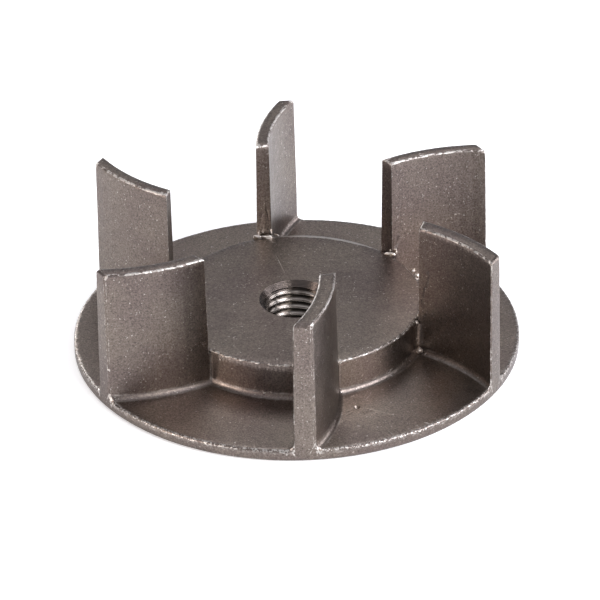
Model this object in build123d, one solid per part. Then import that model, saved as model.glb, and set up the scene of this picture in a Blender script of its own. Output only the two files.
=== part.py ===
from build123d import *
import math
import os

# An open pump impeller, cast in one piece: a round back plate, a raised round hub and six
# curved blades. Millimetres and degrees. The origin is on the shaft axis, in the plane of the
# plate's back face, and +Z points out of the blade side.

# Plate and hub
plate_radius = 34.0
plate_thickness = 1.95
hub_radius = 19.3
hub_height = 7.7              # from the plate's back to the hub's face
overall_height = 23.65        # from the plate's back to the blade tips

# Blades. Each centre line is one arc from an inner to an outer point, and bulges to the
# anticlockwise side, so the blades trail when the impeller turns anticlockwise.
first_blade_angle = -88.7     # direction of the outer end of blade 1
blade_inner_radius = 19.65    # of the inner end faces, a little outside the hub's edge
blade_sweep = 12.6            # the inner point is turned this much ahead of the outer point
blade_bulge = 1.05            # height of the arc over its chord
blade_draft = 0.6             # the blades thin towards their tips, to leave the mould
# The mould closed a little off true, so the blades on one side came out thicker at the tip.
blade_tip_thicknesses = (2.5, 2.4, 2.0, 2.0, 2.0, 2.15)

# Cast corners and edges
root_fillet = 1.0             # where hub and blades rise from the plate
hollow_side_fillet = 1.2      # upright corner between the hub and a blade's hollow face
bulging_side_fillet = 0.5     # upright corner between the hub and a blade's bulging face
tip_corner_radius = 0.7       # outer corner of each blade tip, seen from the side
edge_break = 0.25             # narrow bevel on the hub's, the rim's and the blades' outside edges
back_edge_break = 0.4         # the same on the back of the rim

# Threaded hole for the shaft, M10 x 1.25, at its core size
thread_core_radius = 4.4
countersink_mouth_radius = 5.6
back_mouth_radius = 5.0

# A blow hole left in the plate between blades 1 and 2
pit_place = (8.8, -22.2)
pit_mouth_radius = 0.5
pit_floor_radius = 0.2
pit_depth = 0.35

blade_angles = [first_blade_angle + 60 * number for number in range(6)]
# The upright corner fillets stop just below the bevelled edge of the hub's face.
web_top = hub_height - 2 * edge_break
overshoot = 4.0               # raw blade bands run past both ends before they are trimmed


def polar(radius, angle):
    turn = math.radians(angle)
    return Vector(radius * math.cos(turn), radius * math.sin(turn))


def on_circle(vertex, radius):
    return abs(math.hypot(vertex.X, vertex.Y) - radius) < 0.001


def blade_band(number):
    """The curved band that a blade covers at web_top, too long at both ends."""
    taper = (overall_height - web_top) * math.tan(math.radians(blade_draft))
    thickness = blade_tip_thicknesses[number] + 2 * taper
    inner = polar(blade_inner_radius, blade_angles[number] + blade_sweep)
    outer = polar(plate_radius, blade_angles[number])
    chord = outer - inner
    arc_radius = (chord.length ** 2 / 4 + blade_bulge ** 2) / (2 * blade_bulge)
    bulge_side = Vector(-chord.Y, chord.X).normalized()
    centre = (inner + outer) * 0.5 - bulge_side * (arc_radius - blade_bulge)
    inner_turn = math.degrees(math.atan2(inner.Y - centre.Y, inner.X - centre.X))
    spare = math.degrees(overshoot / arc_radius)
    span = 2 * math.degrees(math.asin(chord.length / 2 / arc_radius)) + 2 * spare
    centre_line = CenterArc((centre.X, centre.Y), arc_radius, inner_turn + spare - span, span)
    return SlotArc(centre_line, thickness)


def is_on_hollow_side(vertex):
    """Whether a corner on the hub's wall lies clockwise of the blade nearest to it."""
    turn = math.degrees(math.atan2(vertex.Y, vertex.X)) - blade_sweep
    offsets = [(turn - angle + 180) % 360 - 180 for angle in blade_angles]
    return min(offsets, key=abs) < 0


def hub_with_blade_roots():
    """Everything between the plate and web_top, upright corners filled."""
    outline = Sketch() + Circle(hub_radius)
    for number in range(6):
        outline += blade_band(number)
    corners = [vertex for vertex in outline.vertices() if on_circle(vertex, hub_radius)]
    hollow = [vertex for vertex in corners if is_on_hollow_side(vertex)]
    outline = fillet(hollow, hollow_side_fillet)
    corners = [vertex for vertex in outline.vertices() if on_circle(vertex, hub_radius)]
    bulging = [vertex for vertex in corners if not is_on_hollow_side(vertex)]
    outline = fillet(bulging, bulging_side_fillet)
    return extrude(Pos(0, 0, plate_thickness) * outline, web_top - plate_thickness)


def hub_face():
    """The top of the hub, with its bevelled edge."""
    disc = extrude(Pos(0, 0, web_top) * Circle(hub_radius), hub_height - web_top)
    return chamfer(disc.edges().group_by(Axis.Z)[-1], edge_break)


def blade(number):
    """One blade above web_top, still too long outwards."""
    outline = blade_band(number) - Circle(blade_inner_radius)
    return extrude(Pos(0, 0, web_top) * outline, overall_height - web_top, taper=blade_draft)


def envelope():
    """The turned outside that trims the blades: rim, blade ends and rounded tip corners."""
    outline = make_face(
        Polyline(
            (0, 0), (plate_radius, 0), (plate_radius, overall_height), (0, overall_height),
            close=True,
        )
    )
    tip = outline.vertices().sort_by_distance((plate_radius, overall_height))[0]
    return revolve(Plane.XZ * fillet(tip, tip_corner_radius), Axis.Z)


def is_root(edge):
    """Edges in the plate's front plane, apart from those on its rim."""
    in_plane = all(abs(point.Z - plate_thickness) < 0.001 for point in edge.vertices())
    on_rim = edge.geom_type == GeomType.CIRCLE and abs(edge.radius - plate_radius) < 0.001
    return in_plane and abs(edge.center().Z - plate_thickness) < 0.001 and not on_rim


def is_outline(edge):
    """Edges round the rim, up the outer ends of the blades and round the blade tips."""
    points = edge.vertices()
    on_rim = all(math.hypot(point.X, point.Y) > plate_radius - 1 for point in points)
    at_tip = all(point.Z > overall_height - 0.001 for point in points)
    return (on_rim or at_tip) and not edge.is_interior and max(p.Z for p in points) > 1


def is_smooth(edge, faces):
    middle = edge.position_at(0.5)
    normals = [face.normal_at(middle) for face in faces]
    return normals[0].get_angle(normals[1]) < 20


def sharp_outline(solid):
    beside = {}
    for face in solid.faces():
        for edge in face.edges():
            beside.setdefault(edge, []).append(face)
    return [
        edge for edge, faces in beside.items()
        if len(faces) == 2 and is_outline(edge) and not is_smooth(edge, faces)
    ]


def shaft_hole():
    """Plain hole at the thread's core size, countersunk in front and eased at the back."""
    front_depth = countersink_mouth_radius - thread_core_radius
    back_depth = back_mouth_radius - thread_core_radius
    half = make_face(
        Polyline(
            (0, 0),
            (back_mouth_radius, 0),
            (thread_core_radius, back_depth),
            (thread_core_radius, hub_height - front_depth),
            (countersink_mouth_radius, hub_height),
            (0, hub_height),
            close=True,
        )
    )
    return revolve(Plane.XZ * half, Axis.Z)


def blow_hole():
    """A small cone, point down, in the plate's front face."""
    cone = Cone(pit_floor_radius, pit_mouth_radius, pit_depth, align=(Align.CENTER, Align.CENTER, Align.MAX))
    return Pos(*pit_place, plate_thickness) * cone


impeller = hub_with_blade_roots() + hub_face()
for number in range(6):
    impeller += blade(number)
impeller = extrude(Circle(plate_radius), plate_thickness) + (impeller & envelope())
impeller = fillet([edge for edge in impeller.edges() if is_root(edge)], root_fillet)
impeller = chamfer(sharp_outline(impeller), edge_break)
impeller = chamfer(impeller.edges().group_by(Axis.Z)[0], back_edge_break)
impeller -= shaft_hole()
impeller -= blow_hole()

os.makedirs("parts", exist_ok=True)
export_step(impeller, "parts/impeller.step")
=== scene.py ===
import math

import bmesh
import bpy
import numpy as np
from mathutils import Matrix, Vector, kdtree, noise


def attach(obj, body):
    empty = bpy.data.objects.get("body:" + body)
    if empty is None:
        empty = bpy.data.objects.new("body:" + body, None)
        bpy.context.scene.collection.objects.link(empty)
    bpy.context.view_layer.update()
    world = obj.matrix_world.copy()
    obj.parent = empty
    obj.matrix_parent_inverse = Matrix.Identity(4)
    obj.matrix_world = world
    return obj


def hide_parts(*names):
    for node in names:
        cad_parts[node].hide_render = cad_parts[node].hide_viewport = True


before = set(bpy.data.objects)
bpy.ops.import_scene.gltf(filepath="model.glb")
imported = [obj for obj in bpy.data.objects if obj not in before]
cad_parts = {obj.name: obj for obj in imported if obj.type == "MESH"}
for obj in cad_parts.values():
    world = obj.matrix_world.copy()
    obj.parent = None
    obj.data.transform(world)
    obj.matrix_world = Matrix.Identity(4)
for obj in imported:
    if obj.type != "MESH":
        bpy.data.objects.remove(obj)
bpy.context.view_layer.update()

# ---------------------------------------------------------------------------------------------
# The casting, in steel, and the hole for its shaft. The hole is drilled, countersunk, and tapped
# M10 x 1.25 right-hand. The drilled shape comes with the casting. The space that the tap sweeps
# is made here and cut from it, so the thread fades out in the countersink as a real one does.
# ---------------------------------------------------------------------------------------------
MM = 0.001
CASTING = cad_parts["impeller"]
THREAD_PITCH = 1.25 * MM
THREAD_CREST = 4.43 * MM          # radius over the crests, just clear of the drilled hole's wall
THREAD_ROOT = 5.06 * MM
CREST_WIDTH = 0.22                # flats on the thread, as shares of its pitch
ROOT_WIDTH = 0.13
THREAD_STEPS = 120                # straight steps in one turn
THREAD_TURNS = 11
THREAD_START = -2.6 * MM          # the tap starts well under the plate's back
THREAD_EASE = 0.06 * MM           # the crests' corners are worn off by this much
THREAD_TURNED_BY = math.radians(133)  # where its groove begins, about the shaft axis
COUNTERSINK_MOUTH = 5.62 * MM     # radius
FLAT = 0.9                        # a face whose normal rises more than this is a flat one
SAME_PLACE = 1e-4 * MM            # corners nearer to each other than this are joined
CAST = 0                          # the materials of the piece, in their order
CUT = 1
BEAD = 2


def new_object(name, mesh):
    made = bpy.data.objects.new(name, mesh)
    bpy.context.scene.collection.objects.link(made)
    return made


def tap_shape():
    """The space that the tap sweeps: a round bar with a ridge wound round it.

    Its faces point inwards, so those of the thread that it cuts point into the metal.
    """
    half_crest = CREST_WIDTH / 2
    half_root = ROOT_WIDTH / 2
    ease = THREAD_EASE / THREAD_PITCH
    outline = [
        (THREAD_CREST + THREAD_EASE, -half_crest - ease / 2),
        (THREAD_CREST, -half_crest + ease / 2),
        (THREAD_CREST, half_crest - ease / 2),
        (THREAD_CREST + THREAD_EASE, half_crest + ease / 2),
        (THREAD_ROOT, 0.5 - half_root),
        (THREAD_ROOT, 0.5 + half_root),
    ]
    made = bmesh.new()
    rows = []
    for step in range(THREAD_STEPS * THREAD_TURNS + 1):
        turn = 2 * math.pi * step / THREAD_STEPS + THREAD_TURNED_BY
        rise = THREAD_START + THREAD_PITCH * step / THREAD_STEPS
        rows.append([
            made.verts.new((r * math.cos(turn), r * math.sin(turn), rise + share * THREAD_PITCH))
            for r, share in outline
        ])
    for low, high in zip(rows, rows[1:]):
        for side in range(len(outline) - 1):
            made.faces.new((low[side], high[side], high[side + 1], low[side + 1]))
    for step in range(len(rows) - 1 - THREAD_STEPS):
        above = step + THREAD_STEPS
        made.faces.new((rows[step][-1], rows[step + 1][-1], rows[above + 1][0], rows[above][0]))
    bottom = [row[0] for row in rows[:THREAD_STEPS + 1]] + rows[0][:0:-1]
    top = [row[-1] for row in rows[-THREAD_STEPS - 1:]] + rows[-1][:-1]
    middle_low = made.verts.new((0, 0, rows[0][0].co.z - THREAD_PITCH))
    middle_high = made.verts.new((0, 0, rows[-1][-1].co.z + THREAD_PITCH))
    for loop, middle in ((bottom, middle_low), (top, middle_high)):
        for first, second in zip(loop, loop[1:] + loop[:1]):
            made.faces.new((first, second, middle))
    bmesh.ops.recalc_face_normals(made, faces=made.faces)
    return made


def combine(piece, tool_shape, name, operation, material_index):
    """Cuts a shape from a piece, or joins it on, for good. Its faces bring a material."""
    mesh = bpy.data.meshes.new(name)
    for face in tool_shape.faces:
        face.material_index = material_index
    tool_shape.to_mesh(mesh)
    tool_shape.free()
    for material in piece.data.materials:
        mesh.materials.append(material)
    tool = new_object(name, mesh)
    cut = piece.modifiers.new(name, "BOOLEAN")
    cut.operation = operation
    cut.solver = "EXACT"
    cut.object = tool
    cut.material_mode = "INDEX"
    bpy.context.view_layer.update()
    graph = bpy.context.evaluated_depsgraph_get()
    result = bpy.data.meshes.new_from_object(piece.evaluated_get(graph))
    piece.modifiers.clear()
    piece.data = result
    bpy.data.objects.remove(tool)


SHARP = math.radians(25)
WEAR_STEP = 0.15 * MM             # the points lie this far apart along an edge, at most
CUT_ZONE = 5.8 * MM               # radius: nothing nearer the axis is worn or uneven
PIT = Vector((8.8, -22.2, 1.95)) * MM
PIT_SIZE = 1 * MM                 # the pit and its mouth lie within this


def points_on_outside_edges(mesh):
    """Points close together along every edge that sticks out sharply."""
    shape = bmesh.new()
    shape.from_mesh(mesh)
    found = []
    for edge in shape.edges:
        start, end = (vertex.co.copy() for vertex in edge.verts)
        sheltered = start.xy.length < CUT_ZONE or (start - PIT).length < PIT_SIZE
        if edge.calc_face_angle_signed(0.0) > SHARP and not sheltered:
            count = math.ceil((end - start).length / WEAR_STEP)
            found += [start.lerp(end, share / count) for share in range(count + 1)]
    shape.free()
    return found


cast_steel = bpy.data.materials.new("cast_steel_blasted")
cut_steel = bpy.data.materials.new("steel_turned_and_tapped")
bead_steel = bpy.data.materials.new("cast_steel_rubbed_with_painted_highlight")

impeller = new_object("impeller_casting", bpy.data.meshes.new("impeller_casting"))
impeller.data.materials.append(cast_steel)
impeller.data.materials.append(cut_steel)
impeller.data.materials.append(bead_steel)
shape = bmesh.new()
shape.from_mesh(CASTING.data)
bmesh.ops.remove_doubles(shape, verts=shape.verts, dist=SAME_PLACE)
for face in shape.faces:
    middle = face.calc_center_median()
    turned = middle.xy.length < COUNTERSINK_MOUTH and abs(face.normal.z) < FLAT
    face.material_index = CUT if turned else CAST
shape.to_mesh(impeller.data)
shape.free()
edge_points = points_on_outside_edges(impeller.data)
combine(impeller, tap_shape(), "tap", "DIFFERENCE", CUT)

# ---------------------------------------------------------------------------------------------
# Beads of steel that ran into gaps of the mould and were left on the hub at the blades' feet.
# They are part of the casting: small rounded drops, rubbed bright and paler still as a painted
# highlight. Four of the 16 don't fuse with it here, but stay closed shells that stand through its
# surface.
# ---------------------------------------------------------------------------------------------
# Each bead's place in millimetres, its half length, width and height, and the way it points.
BEADS = [
    # A ledge at the foot of the rear blade, with drops on the blade's corner.
    ((-5.7, 18.6, 7.75), (0.80, 0.33, 0.36), 0),
    ((-4.3, 18.5, 7.80), (0.85, 0.35, 0.42), 0),
    ((-3.7, 19.3, 8.30), (0.30, 0.30, 0.45), 0),
    ((-4.9, 19.3, 8.30), (0.28, 0.25, 0.22), 0),
    ((-2.8, 19.6, 7.55), (0.55, 0.15, 0.16), -40),
    # A smaller ledge at the foot of the next blade.
    ((14.6, 12.65, 7.75), (1.00, 0.30, 0.34), -10),
    ((14.75, 13.1, 8.10), (0.22, 0.22, 0.35), 0),
    ((15.4, 13.2, 8.30), (0.35, 0.25, 0.28), 30),
    ((15.6, 12.7, 7.95), (0.15, 0.20, 0.45), 0),
    # A flake that stands up from the hub's edge.
    ((18.15, 7.75, 7.75), (0.42, 0.20, 0.30), 60),
    ((18.6, 6.1, 7.80), (0.50, 0.30, 0.42), -60),
    # Drops at the foot of the right blade, and a larger one in the corner below it.
    ((18.5, -5.8, 7.75), (0.24, 0.20, 0.40), 0),
    ((18.2, -7.15, 7.40), (0.28, 0.25, 0.25), 0),
    ((18.4, -6.7, 7.55), (0.22, 0.22, 0.22), 0),
    ((18.55, -7.95, 2.95), (0.52, 0.48, 0.46), 0),
    # One at the foot of the left blade.
    ((-13.55, -13.6, 7.45), (0.30, 0.25, 0.25), 45),
]
BEAD_UNEVENNESS = 0.45            # share of a bead's size
BEAD_BUMPS = 1.3                  # how many bumps go on a bead's radius, roughly


def bead_shape(place, radii, heading):
    """A ball, made uneven, stretched to three radii, turned and put in its place."""
    made = bmesh.new()
    bmesh.ops.create_icosphere(made, subdivisions=3, radius=1.0)
    for vertex in made.verts:
        vertex.co *= 1 + BEAD_UNEVENNESS * noise.noise(vertex.co * BEAD_BUMPS + Vector(place))
    stretch = Matrix.Diagonal((*(radius * MM for radius in radii), 1))
    turn = Matrix.Rotation(math.radians(heading), 4, "Z")
    move = Matrix.Translation(Vector(place) * MM)
    bmesh.ops.transform(made, verts=made.verts, matrix=move @ turn @ stretch)
    return made


for bead_place, bead_radii, bead_heading in BEADS:
    bead = bead_shape(bead_place, bead_radii, bead_heading)
    combine(impeller, bead, "bead", "UNION", BEAD)

# ---------------------------------------------------------------------------------------------
# The cast skin of the steel. The mould leaves it very slightly uneven, and blasting and wear have
# rubbed the outside edges bright, partly as a painted highlight. The mesh is refined until it can
# carry both.
# ---------------------------------------------------------------------------------------------
LONGEST_EDGE = 0.8 * MM
LARGE_ENOUGH = 0.2 * MM * MM      # a triangle with a smaller area isn't split for itself
SWELL = 0.035 * MM                # how far the broad unevenness reaches into the metal
SWELL_SIZE = 5 * MM
LEVEL = 0.99                      # flat faces, whose normals rise more than this, stay exact
WEAR_REACH = 2.0                  # the mesh knows how far an edge is up to this, in mm
SHARP_FOLD = math.radians(58)     # elsewhere than in the pit, a fold shades sharp from here on
# How a triangle with corners 0 to 2 is cut up when its sides 0 to 2 are halved at points 3 to 5.
SPLITS = {
    (False, False, False): [(0, 1, 2)],
    (True, False, False): [(0, 3, 2), (3, 1, 2)],
    (True, True, False): [(3, 1, 4), (0, 3, 4), (0, 4, 2)],
    (True, True, True): [(0, 3, 5), (3, 1, 4), (5, 4, 2), (3, 4, 5)],
}


def halve_long_edges(points, corners, kinds):
    """One pass over the large triangles: each one's longest edge is halved if it is too long."""
    ends = np.stack([corners, np.roll(corners, -1, axis=1)], axis=2)
    spans = np.linalg.norm(points[ends[..., 0]] - points[ends[..., 1]], axis=2)
    keys = ends.min(axis=2) * len(points) + ends.max(axis=2)
    rows = np.arange(len(corners))
    side = spans.argmax(axis=1)
    first, second, third = (points[corners[:, at]] for at in range(3))
    area = np.linalg.norm(np.cross(second - first, third - first), axis=1) / 2
    coarse = (spans[rows, side] > LONGEST_EDGE) & (area > LARGE_ENOUGH)
    chosen = np.unique(keys[rows, side][coarse])
    if not len(chosen):
        return None
    middles = len(points) + np.arange(len(chosen))
    ends_of_chosen = points[chosen // len(points)], points[chosen % len(points)]
    points = np.vstack([points, (ends_of_chosen[0] + ends_of_chosen[1]) / 2])
    found = np.minimum(np.searchsorted(chosen, keys), len(chosen) - 1)
    split = chosen[found] == keys
    middle = middles[found]
    pieces = []
    new_kinds = []
    for pattern, triangles in SPLITS.items():
        for turn in range(3 if sum(pattern) in (1, 2) else 1):
            match = (split == np.roll(pattern, turn)).all(axis=1)
            own = np.roll(corners[match], -turn, axis=1)
            added = np.roll(middle[match], -turn, axis=1)
            six = np.hstack([own, added])
            for triangle in triangles:
                pieces.append(six[:, triangle])
                new_kinds.append(kinds[match])
    return points, np.vstack(pieces), np.concatenate(new_kinds)


shape = bmesh.new()
shape.from_mesh(impeller.data)
bmesh.ops.triangulate(shape, faces=shape.faces)
shape.verts.index_update()
mesh_points = np.array([vertex.co for vertex in shape.verts])
mesh_corners = np.array([[vertex.index for vertex in face.verts] for face in shape.faces])
mesh_kinds = np.array([face.material_index for face in shape.faces])
shape.free()
while True:
    finer = halve_long_edges(mesh_points, mesh_corners, mesh_kinds)
    if finer is None:
        break
    mesh_points, mesh_corners, mesh_kinds = finer
impeller.data.clear_geometry()
impeller.data.from_pydata(mesh_points.tolist(), [], mesh_corners.tolist())
impeller.data.polygons.foreach_set("material_index", mesh_kinds.astype(np.int32))
shape = bmesh.new()
shape.from_mesh(impeller.data)
shape.normal_update()
for face in shape.faces:
    face.smooth = True
near = kdtree.KDTree(len(edge_points))
for number, point in enumerate(edge_points):
    near.insert(point, number)
near.balance()
from_edge = shape.verts.layers.float.new("from_edge")
for vertex in shape.verts:
    vertex[from_edge] = min(near.find(vertex.co)[2] / MM, WEAR_REACH)
for vertex in shape.verts:
    if math.hypot(vertex.co.x, vertex.co.y) < CUT_ZONE or abs(vertex.normal.z) > LEVEL:
        continue
    swell = noise.noise(vertex.co / SWELL_SIZE) * 0.5 + 0.5
    vertex.co -= vertex.normal * SWELL * swell
    vertex.co.z = max(vertex.co.z, 0.0)
shape.normal_update()
# Worn edges shade round. The edges that a tool cut, and the pit's, shade sharp.
for edge in shape.edges:
    cut_edge = {face.material_index for face in edge.link_faces} == {CAST, CUT}
    in_pit = (edge.verts[0].co - PIT).length < PIT_SIZE
    fold = SHARP if in_pit else SHARP_FOLD
    edge.smooth = edge.calc_face_angle(0.0) < fold and not cut_edge
shape.to_mesh(impeller.data)
shape.free()
weighted = impeller.modifiers.new("flat faces stay flat", "WEIGHTED_NORMAL")
weighted.weight = 100
weighted.keep_sharp = True

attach(impeller, "root")
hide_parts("impeller")


def linear(colour):
    """An sRGB hex colour as the linear RGBA that a shader wants."""
    channels = [int(colour[at:at + 2], 16) / 255 for at in (0, 2, 4)]
    return [c / 12.92 if c <= 0.04045 else ((c + 0.055) / 1.055) ** 2.4 for c in channels] + [1.0]


def add(tree, kind, inputs=None, output=0, **settings):
    """Adds a node and gives one of its outputs. inputs holds values or outputs of other nodes."""
    node = tree.nodes.new(kind)
    for name, value in settings.items():
        setattr(node, name, value)
    for key, value in (inputs or {}).items():
        if isinstance(value, bpy.types.NodeSocket):
            tree.links.new(value, node.inputs[key])
        else:
            node.inputs[key].default_value = value
    return node.outputs[output] if len(node.outputs) else None


def start_material(material):
    material.use_nodes = True
    material.node_tree.nodes.clear()
    return material.node_tree


# Steel cast in a sand mould, then tumbled or blasted. The eye gets a dark warm grey with a satin
# sheen, a fine dry grain, bright flecks where the grain was struck, and bright rubbed edges, which
# are partly a painted highlight.
GRAIN = 0.27 * MM                 # coarser than the real 0.1 mm grit, so that it shows
MOTTLE = 1.4 * MM
CLOUD = 9 * MM
STAIN = 4 * MM
FLECK = 0.4 * MM
RAGGED_EDGE = 0.7 * MM
DINT = 0.35 * MM
tree = start_material(cast_steel)
place = add(tree, "ShaderNodeTexCoord", output="Object")
grain = add(
    tree, "ShaderNodeTexNoise",
    {"Vector": place, "Scale": 1 / GRAIN, "Detail": 3.0, "Roughness": 0.75},
)
mottle = add(
    tree, "ShaderNodeTexNoise",
    {"Vector": place, "Scale": 1 / MOTTLE, "Detail": 4.0, "Roughness": 0.6},
)
cloud = add(tree, "ShaderNodeTexNoise", {"Vector": place, "Scale": 1 / CLOUD, "Detail": 3.0})
stain = add(
    tree, "ShaderNodeTexNoise",
    {"Vector": place, "Scale": 1 / STAIN, "Detail": 5.0, "Roughness": 0.7},
)
warm = add(tree, "ShaderNodeMapRange", {0: cloud, 1: 0.35, 2: 0.65})
colour = add(
    tree, "ShaderNodeMix", {0: warm, 6: linear("716661"), 7: linear("7C726A")},
    output=2, data_type="RGBA",
)
STAIN_STRENGTH = 0.12
stained = add(
    tree, "ShaderNodeMapRange", {0: stain, 1: 0.62, 2: 0.8, 4: STAIN_STRENGTH},
    interpolation_type="SMOOTHSTEP",
)
colour = add(
    tree, "ShaderNodeMix", {0: stained, 6: colour, 7: linear("7A6350")},
    output=2, data_type="RGBA",
)
DARKEST_GRAIN = 0.4               # tones of single grains, as shares of the steel's own
BRIGHTEST_GRAIN = 1.6
grain_tone = add(
    tree, "ShaderNodeMapRange",
    {0: grain, 1: 0.25, 2: 0.75, 3: DARKEST_GRAIN, 4: BRIGHTEST_GRAIN},
)
colour = add(
    tree, "ShaderNodeMix", {0: 1.0, 6: colour, 7: grain_tone},
    output=2, data_type="RGBA", blend_type="MULTIPLY",
)
# Bright flecks: only the highest grains, and only here and there.
speck = add(
    tree, "ShaderNodeTexNoise",
    {"Vector": place, "Scale": 1 / FLECK, "Detail": 2.0, "Roughness": 0.7},
)
struck = add(
    tree, "ShaderNodeMapRange", {0: speck, 1: 0.645, 2: 0.69},
    interpolation_type="SMOOTHSTEP",
)
here_and_there = add(
    tree, "ShaderNodeMapRange", {0: mottle, 1: 0.44, 2: 0.56},
    interpolation_type="SMOOTHSTEP",
)
fleck = add(tree, "ShaderNodeMath", {0: struck, 1: here_and_there}, operation="MULTIPLY")
# Rubbed edges, real wear and partly a painted highlight: bright up to a ragged distance, in
# millimetres, from an outside edge.
LEAST_REACH = -0.04
MOST_REACH = 0.15
from_edge = add(tree, "ShaderNodeAttribute", output="Fac", attribute_name="from_edge")
ragged = add(
    tree, "ShaderNodeTexNoise",
    {"Vector": place, "Scale": 1 / RAGGED_EDGE, "Detail": 3.0, "Roughness": 0.65},
)
reach = add(
    tree, "ShaderNodeMapRange", {0: ragged, 1: 0.3, 2: 0.7, 3: LEAST_REACH, 4: MOST_REACH}
)
# The rim was knocked in small dints. On the hub's far edge between two blades, the bright band is
# widened as a painted highlight.
PLATE_FACE = 2.0 * MM             # height
OVER_PLATE = 2.4 * MM
RIM_STARTS = 32.8 * MM            # radius
RIM_FULL = 33.2 * MM
DINT_REACH = 0.14                 # extra reach of the wear in a dint, in mm
BETWEEN_DINTS = -0.15
HUB_EDGE_HIGHLIGHT_PLACE = Vector((4.8, 18.5, 7.7)) * MM
HUB_EDGE_HIGHLIGHT_FULL = 5 * MM             # within this of the highlight's middle
HUB_EDGE_HIGHLIGHT_FADES = 9 * MM
HUB_EDGE_HIGHLIGHT_REACH = 0.5
from_axis = add(
    tree, "ShaderNodeVectorMath", {0: place, 1: (1, 1, 0)}, operation="MULTIPLY"
)
from_axis = add(
    tree, "ShaderNodeVectorMath", {0: from_axis}, output="Value", operation="LENGTH"
)
height = add(tree, "ShaderNodeSeparateXYZ", {0: place}, output=2)
below = add(tree, "ShaderNodeMapRange", {0: height, 1: OVER_PLATE, 2: PLATE_FACE})
at_rim = add(tree, "ShaderNodeMapRange", {0: from_axis, 1: RIM_STARTS, 2: RIM_FULL})
dints = add(
    tree, "ShaderNodeTexNoise",
    {"Vector": place, "Scale": 1 / DINT, "Detail": 2.0, "Roughness": 0.7},
)
dinted = add(
    tree, "ShaderNodeMapRange",
    {0: dints, 1: 0.42, 2: 0.58, 3: BETWEEN_DINTS, 4: DINT_REACH},
)
at_rim = add(tree, "ShaderNodeMath", {0: at_rim, 1: dinted}, operation="MULTIPLY")
at_rim = add(tree, "ShaderNodeMath", {0: at_rim, 1: below}, operation="MULTIPLY")
# Painted highlight: near this place on the hub's far edge the bright band reaches further.
from_hub_edge_highlight = add(
    tree, "ShaderNodeVectorMath", {0: place, 1: HUB_EDGE_HIGHLIGHT_PLACE},
    output="Value", operation="DISTANCE",
)
hub_edge_highlight = add(
    tree, "ShaderNodeMapRange",
    {0: from_hub_edge_highlight, 1: HUB_EDGE_HIGHLIGHT_FADES, 2: HUB_EDGE_HIGHLIGHT_FULL, 4: HUB_EDGE_HIGHLIGHT_REACH},
)
reach = add(tree, "ShaderNodeMath", {0: reach, 1: at_rim}, operation="ADD")
reach = add(tree, "ShaderNodeMath", {0: reach, 1: hub_edge_highlight}, operation="ADD")
inside = add(tree, "ShaderNodeMath", {0: reach, 1: from_edge}, operation="SUBTRACT")
# The bright band along the edges is real wear and partly a painted highlight.
rubbed_and_highlit = add(
    tree, "ShaderNodeMapRange", {0: inside, 1: 0.0, 2: 0.08}, interpolation_type="SMOOTHSTEP"
)
# Painted light: the plate's level face between the blades is made paler than the rest of the steel.
PAINTED_LIGHT_ON_PLATE = (1.22, 1.22, 1.22, 1.0)
facing_up = add(
    tree, "ShaderNodeSeparateXYZ", {0: add(tree, "ShaderNodeNewGeometry", output="Normal")},
    output=2,
)
level = add(tree, "ShaderNodeMapRange", {0: facing_up, 1: 0.9, 2: 0.98})
plate_painted_light = add(tree, "ShaderNodeMath", {0: level, 1: below}, operation="MULTIPLY")
colour = add(
    tree, "ShaderNodeMix", {0: plate_painted_light, 6: colour, 7: PAINTED_LIGHT_ON_PLATE},
    output=2, data_type="RGBA", blend_type="MULTIPLY",
)
# The lowest edge, which stands on the table, isn't rubbed or given the painted highlight.
UNRUBBED_BELOW = 0.8 * MM         # height
RUBBED_ABOVE = 1.3 * MM
off_table = add(tree, "ShaderNodeMapRange", {0: height, 1: UNRUBBED_BELOW, 2: RUBBED_ABOVE})
rubbed_and_highlit = add(tree, "ShaderNodeMath", {0: rubbed_and_highlit, 1: off_table}, operation="MULTIPLY")
# Painted highlights: two thin bright lines along the fillets on the plate, at the fillet's upper
# and lower ends, picked out by the way the surface faces.
FILLETS_END = 2.9 * MM            # height, where the lines are full
FILLETS_GONE = 3.3 * MM
low = add(
    tree, "ShaderNodeMapRange", {0: height, 1: FILLETS_GONE, 2: FILLETS_END},
    interpolation_type="SMOOTHSTEP",
)
rise = add(
    tree, "ShaderNodeMapRange", {0: facing_up, 1: 0.02, 2: 0.15},
    interpolation_type="SMOOTHSTEP",
)
fall = add(
    tree, "ShaderNodeMapRange", {0: facing_up, 1: 0.4, 2: 0.15},
    interpolation_type="SMOOTHSTEP",
)
upper_fillet_highlight = add(tree, "ShaderNodeMath", {0: rise, 1: fall}, operation="MULTIPLY")
rise = add(
    tree, "ShaderNodeMapRange", {0: facing_up, 1: 0.85, 2: 0.95},
    interpolation_type="SMOOTHSTEP",
)
fall = add(
    tree, "ShaderNodeMapRange", {0: facing_up, 1: 0.998, 2: 0.97},
    interpolation_type="SMOOTHSTEP",
)
lower_fillet_highlight = add(tree, "ShaderNodeMath", {0: rise, 1: fall}, operation="MULTIPLY")
fillet_highlights = add(tree, "ShaderNodeMath", {0: upper_fillet_highlight, 1: lower_fillet_highlight}, operation="MAXIMUM")
fillet_highlights = add(tree, "ShaderNodeMath", {0: fillet_highlights, 1: low}, operation="MULTIPLY")
FILLET_HIGHLIGHT_STRENGTH = 0.5
patchy = add(
    tree, "ShaderNodeMapRange", {0: mottle, 1: 0.42, 2: 0.65, 3: 0.0, 4: FILLET_HIGHLIGHT_STRENGTH}
)
fillet_highlights = add(tree, "ShaderNodeMath", {0: fillet_highlights, 1: patchy}, operation="MULTIPLY")
bright = add(tree, "ShaderNodeMath", {0: rubbed_and_highlit, 1: fleck}, operation="MAXIMUM")
bright = add(tree, "ShaderNodeMath", {0: bright, 1: fillet_highlights}, operation="MAXIMUM")
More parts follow.
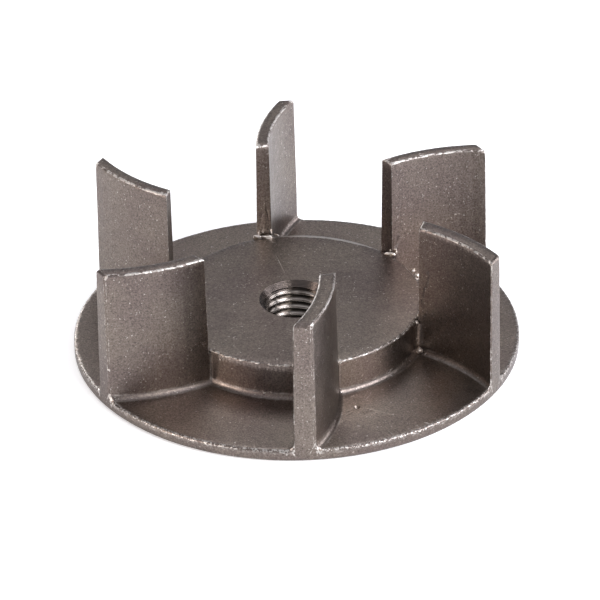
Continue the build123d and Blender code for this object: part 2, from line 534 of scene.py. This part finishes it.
colour = add(
    tree, "ShaderNodeMix", {0: bright, 6: colour, 7: linear("C4BDB6")},
    output=2, data_type="RGBA",
)
DULL_ROUGHNESS = 0.4
SATIN_ROUGHNESS = 0.31
RUBBED_ROUGHNESS = 0.28
roughness = add(
    tree, "ShaderNodeMapRange",
    {0: mottle, 1: 0.3, 2: 0.7, 3: DULL_ROUGHNESS, 4: SATIN_ROUGHNESS},
)
roughness = add(tree, "ShaderNodeMix", {0: bright, 2: roughness, 3: RUBBED_ROUGHNESS})
dints = add(tree, "ShaderNodeMath", {0: dints, 1: rubbed_and_highlit}, operation="MULTIPLY")
GRAIN_DEPTH = 0.035 * MM
MOTTLE_DEPTH = 0.05 * MM
DINT_DEPTH = 0.08 * MM
bump = add(tree, "ShaderNodeBump", {"Height": grain, "Strength": 0.9, "Distance": GRAIN_DEPTH})
bump = add(
    tree, "ShaderNodeBump",
    {"Height": mottle, "Strength": 0.8, "Distance": MOTTLE_DEPTH, "Normal": bump},
)
bump = add(
    tree, "ShaderNodeBump",
    {"Height": dints, "Strength": 1.0, "Distance": DINT_DEPTH, "Normal": bump},
)
steel = add(tree, "ShaderNodeBsdfPrincipled", {
    "Base Color": colour, "Metallic": 1.0, "Roughness": roughness, "Normal": bump,
})
add(tree, "ShaderNodeOutputMaterial", {"Surface": steel})

# The same steel, turned by the countersink and cut by the tap. The eye gets a glossier face, with
# bright crests, dull oily patches and painted shade in the thread's grooves.
RING = 0.3 * MM                   # from one ring of the countersink to the next
CHATTER = 0.5 * MM
OIL = 1.2 * MM
ROOT_SHADE_STARTS = 4.55 * MM           # radius
ROOT_SHADE_FULL = 4.85 * MM
CONE_STARTS = 6.4 * MM            # height
CONE_FULL = 6.6 * MM
tree = start_material(cut_steel)
place = add(tree, "ShaderNodeTexCoord", output="Object")
flat_place = add(
    tree, "ShaderNodeVectorMath", {0: place, 1: (1, 1, 0)}, operation="MULTIPLY"
)
radius = add(
    tree, "ShaderNodeVectorMath", {0: flat_place}, output="Value", operation="LENGTH"
)
height = add(tree, "ShaderNodeSeparateXYZ", {0: place}, output=2)
rings = add(tree, "ShaderNodeMath", {0: radius, 1: height}, operation="ADD")
rings = add(tree, "ShaderNodeMath", {0: rings, 1: 2 * math.pi / RING}, operation="MULTIPLY")
rings = add(tree, "ShaderNodeMath", {0: rings}, operation="SINE")
chatter = add(
    tree, "ShaderNodeTexNoise",
    {"Vector": place, "Scale": 1 / CHATTER, "Detail": 4.0, "Roughness": 0.7},
)
oil = add(tree, "ShaderNodeTexNoise", {"Vector": place, "Scale": 1 / OIL, "Detail": 3.0})
oil = add(tree, "ShaderNodeMapRange", {0: oil, 1: 0.4, 2: 0.65})
colour = add(
    tree, "ShaderNodeMix", {0: oil, 6: linear("A79E96"), 7: linear("756B63")},
    output=2, data_type="RGBA",
)
# Painted shade: the thread's grooves, out from the crests, are painted dark.
root = add(tree, "ShaderNodeMapRange", {0: radius, 1: ROOT_SHADE_STARTS, 2: ROOT_SHADE_FULL})
colour = add(
    tree, "ShaderNodeMix", {0: root, 6: colour, 7: linear("3A342F")},
    output=2, data_type="RGBA",
)
# Painted shade: the countersink's cone is painted darker than the thread below it.
cone = add(tree, "ShaderNodeMapRange", {0: height, 1: CONE_STARTS, 2: CONE_FULL})
colour = add(
    tree, "ShaderNodeMix", {0: cone, 6: colour, 7: linear("5C534E")},
    output=2, data_type="RGBA",
)
rings = add(tree, "ShaderNodeMath", {0: rings, 1: cone}, operation="MULTIPLY")
TOOL_MARK_DEPTH = 0.02 * MM
bump = add(
    tree, "ShaderNodeBump", {"Height": rings, "Strength": 0.8, "Distance": TOOL_MARK_DEPTH}
)
bump = add(
    tree, "ShaderNodeBump",
    {"Height": chatter, "Strength": 0.3, "Distance": TOOL_MARK_DEPTH, "Normal": bump},
)
# The tool's fine scratches run round the hole, so a highlight is drawn out along the axis.
around = add(tree, "ShaderNodeTangent", direction_type="RADIAL", axis="Z")
steel = add(tree, "ShaderNodeBsdfPrincipled", {
    "Base Color": colour, "Metallic": 1.0, "Roughness": 0.24, "Normal": bump,
    "Anisotropic": 0.6, "Anisotropic Rotation": 0.25, "Tangent": around,
})
add(tree, "ShaderNodeOutputMaterial", {"Surface": steel})

# The beads' smooth skin, rubbed bright, and paler still as a painted highlight. The eye gets small
# glints among the dull grains.
TARNISH = 0.6 * MM
tree = start_material(bead_steel)
place = add(tree, "ShaderNodeTexCoord", output="Object")
tarnish = add(tree, "ShaderNodeTexNoise", {"Vector": place, "Scale": 1 / TARNISH, "Detail": 3.0})
tarnish = add(tree, "ShaderNodeMapRange", {0: tarnish, 1: 0.4, 2: 0.6})
colour = add(
    tree, "ShaderNodeMix", {0: tarnish, 6: linear("DDD5CD"), 7: linear("A89888")},
    output=2, data_type="RGBA",
)
steel = add(tree, "ShaderNodeBsdfPrincipled", {"Base Color": colour, "Metallic": 1.0, "Roughness": 0.45})
add(tree, "ShaderNodeOutputMaterial", {"Surface": steel})

# ---------------------------------------------------------------------------------------------
# The studio: a white table that shows only the soft shadow under the plate, a dim room, soft
# lamps round the part, and a long lens from the front.
# ---------------------------------------------------------------------------------------------
FLOOR_SIZE = 1.2                  # metres
FLOOR_DROP = 0.02 * MM            # the floor is this much under the part, so they don't share a face
floor_mesh = bpy.data.meshes.new("floor")
half = FLOOR_SIZE / 2
floor_corners = [(-half, -half, 0), (half, -half, 0), (half, half, 0), (-half, half, 0)]
floor_mesh.from_pydata(floor_corners, [], [(0, 1, 2, 3)])
floor = new_object("floor", floor_mesh)
floor.location.z = -FLOOR_DROP
white_table = bpy.data.materials.new("white_table")
floor_mesh.materials.append(white_table)
tree = start_material(white_table)
seen_directly = add(tree, "ShaderNodeLightPath", output="Is Camera Ray")
mirrored = add(tree, "ShaderNodeLightPath", output="Is Glossy Ray")
seen_at_all = add(tree, "ShaderNodeMath", {0: seen_directly, 1: mirrored}, operation="MAXIMUM")
paint = add(tree, "ShaderNodeBsdfDiffuse", {"Color": linear("F4F4F4")})
GLOW_MIRRORED = 0.2               # the table's own glow, as a shiny part mirrors it
GLOW_SEEN = 0.38                  # and as the camera sees it, which keeps the shadow pale
glow_strength = add(
    tree, "ShaderNodeMapRange", {0: seen_directly, 3: GLOW_MIRRORED, 4: GLOW_SEEN}
)
glow = add(tree, "ShaderNodeEmission", {"Color": linear("FFFFFF"), "Strength": glow_strength})
lit = add(tree, "ShaderNodeAddShader", {0: paint, 1: glow})
seen = add(tree, "ShaderNodeMixShader", {0: seen_at_all, 1: paint, 2: lit})
add(tree, "ShaderNodeOutputMaterial", {"Surface": seen})

world = bpy.data.worlds.new("studio")
bpy.context.scene.world = world
world.use_nodes = True
tree = world.node_tree
tree.nodes.clear()
seen_directly = add(tree, "ShaderNodeLightPath", output="Is Camera Ray")
direction = add(tree, "ShaderNodeTexCoord", output="Generated")
up = add(tree, "ShaderNodeSeparateXYZ", {0: direction}, output=2)
# White backdrop low down, dim walls, and a pale ceiling. The height is the sine of the angle up.
WALLS = 0.14                      # brightness
CEILING = 0.6
BACKDROP_ENDS = 0.08              # height
WALLS_START = 0.24
CEILING_STARTS = 0.55
CEILING_FULL = 0.8
low_down = add(
    tree, "ShaderNodeMapRange", {0: up, 1: BACKDROP_ENDS, 2: WALLS_START, 3: 1.0, 4: WALLS}
)
high_up = add(
    tree, "ShaderNodeMapRange", {0: up, 1: CEILING_STARTS, 2: CEILING_FULL, 3: 0.0, 4: CEILING}
)
brightness = add(tree, "ShaderNodeMath", {0: low_down, 1: high_up}, operation="ADD")
room = add(tree, "ShaderNodeBackground", {"Color": linear("F4F6FF"), "Strength": brightness})
backdrop = add(tree, "ShaderNodeBackground", {"Color": linear("FFFFFF"), "Strength": 1.0})
seen = add(tree, "ShaderNodeMixShader", {0: seen_directly, 1: room, 2: backdrop})
add(tree, "ShaderNodeOutputWorld", {"Surface": seen})


LAMP_DISTANCE = 0.62              # metres, from the part


def soft_lamp(name, around, up, size, power, colour):
    """A square soft box: degrees right of the camera and above the table, metres, watts."""
    around = math.radians(around)
    up = math.radians(up)
    data = bpy.data.lights.new(name, "AREA")
    data.shape = "SQUARE"
    data.size = size
    data.energy = power
    data.color = linear(colour)[:3]
    lamp = new_object(name, data)
    way = Vector((math.sin(around) * math.cos(up), -math.cos(around) * math.cos(up), math.sin(up)))
    lamp.location = LAMP_DISTANCE * way
    lamp.rotation_euler = way.to_track_quat("Z", "Y").to_euler()


soft_lamp("lamp_left", -60, 20, 0.26, 1.7, "FFF3EC")
soft_lamp("lamp_front_right", 31, 26, 0.15, 0.9, "FFFFFF")
soft_lamp("lamp_right", 62, 37, 0.32, 3.4, "F3F6FF")
soft_lamp("lamp_far_right", 100, 20, 0.26, 1.9, "F3F6FF")
soft_lamp("lamp_behind_left", -145, 18, 0.24, 1.1, "FFFFFF")
soft_lamp("lamp_behind", 175, 50, 0.24, 0.30, "FFFFFF")

# The camera looks down at the front of the casting through a long lens.
CAMERA_DISTANCE = 0.881           # metres, from the origin
CAMERA_HEIGHT_ANGLE = 0.5495      # these angles are in radians
CAMERA_PITCH = 0.54224
CAMERA_ROLL = 0.01928
CAMERA_YAW = -0.00082
CAMERA_LENS = 345.7               # millimetres, on a sensor 36 wide
camera_data = bpy.data.cameras.new("camera")
camera_data.lens = CAMERA_LENS
camera_data.sensor_width = 36
camera = new_object("camera", camera_data)
camera_place = Vector((
    0,
    -CAMERA_DISTANCE * math.cos(CAMERA_HEIGHT_ANGLE),
    CAMERA_DISTANCE * math.sin(CAMERA_HEIGHT_ANGLE),
))
camera.matrix_world = (
    Matrix.Translation(camera_place)
    @ Matrix.Rotation(CAMERA_YAW, 4, "Z")
    @ Matrix.Rotation(math.pi / 2 - CAMERA_PITCH, 4, "X")
    @ Matrix.Rotation(-CAMERA_ROLL, 4, "Z")
)
bpy.context.scene.camera = camera
bpy.context.scene.view_settings.view_transform = "Standard"
